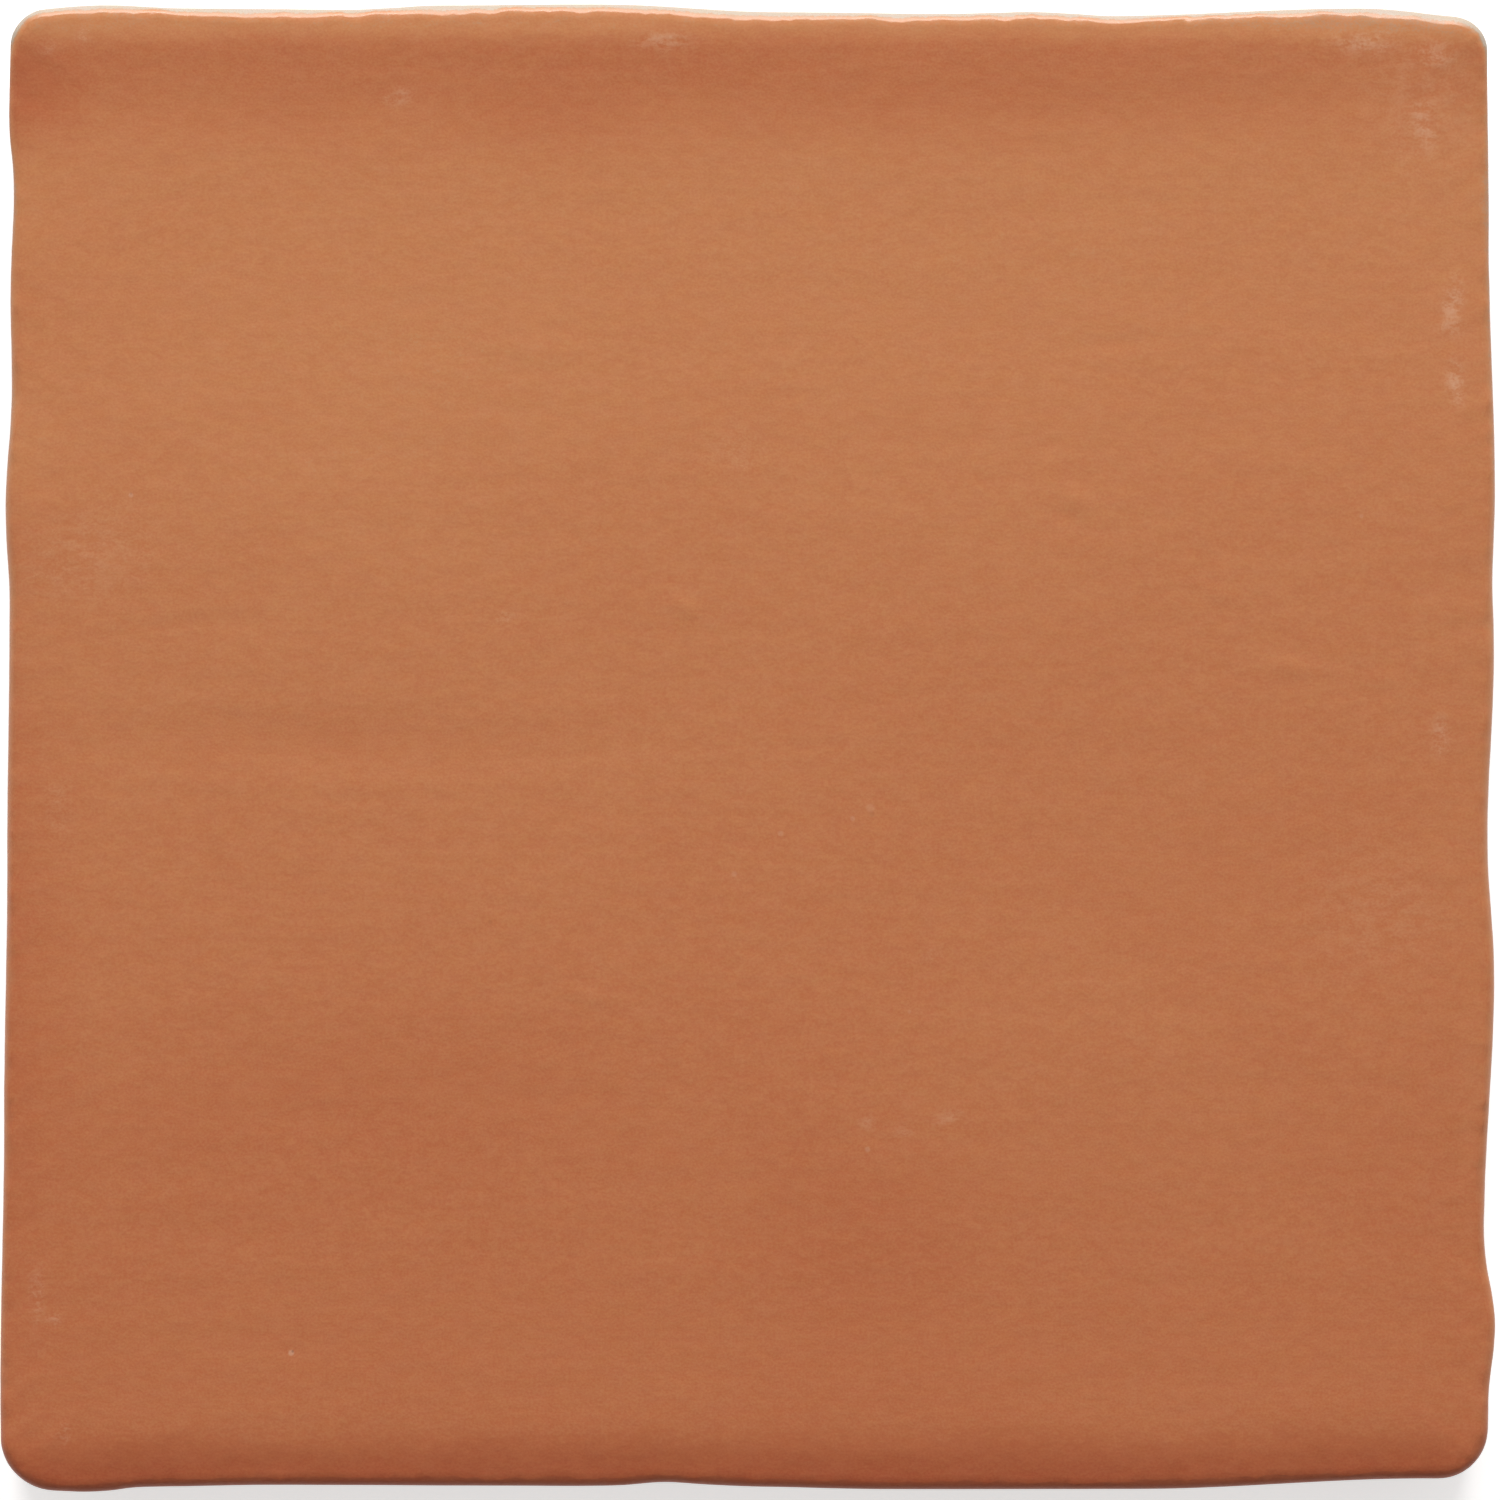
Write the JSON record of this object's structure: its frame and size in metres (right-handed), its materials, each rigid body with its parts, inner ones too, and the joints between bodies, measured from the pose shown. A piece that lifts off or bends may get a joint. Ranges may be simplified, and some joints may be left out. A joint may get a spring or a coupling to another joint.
{
  "type": "ceramic tile",
  "caption": "Square glazed ceramic wall tile with wavy sides, rounded corners, a cushioned edge, a gently swelling face and a ribbed back.",
  "frame": {"origin": "middle of the tile's outline, on the plane of the back ribs' lands", "axes": "+Z out of the glazed face, +X to the tile's right side, +Y to its far side, which is the top of the tile as it hangs on a wall"},
  "size_m": [0.1, 0.0996, 0.009],
  "materials": {
    "satin_glaze": "satin terracotta glaze with a fine orange-peel surface, bare pale biscuit on the back and low on the sides"
  },
  "bodies": {
    "root": {"ceramic_tile": "satin_glaze"}
  },
  "joints": []
}
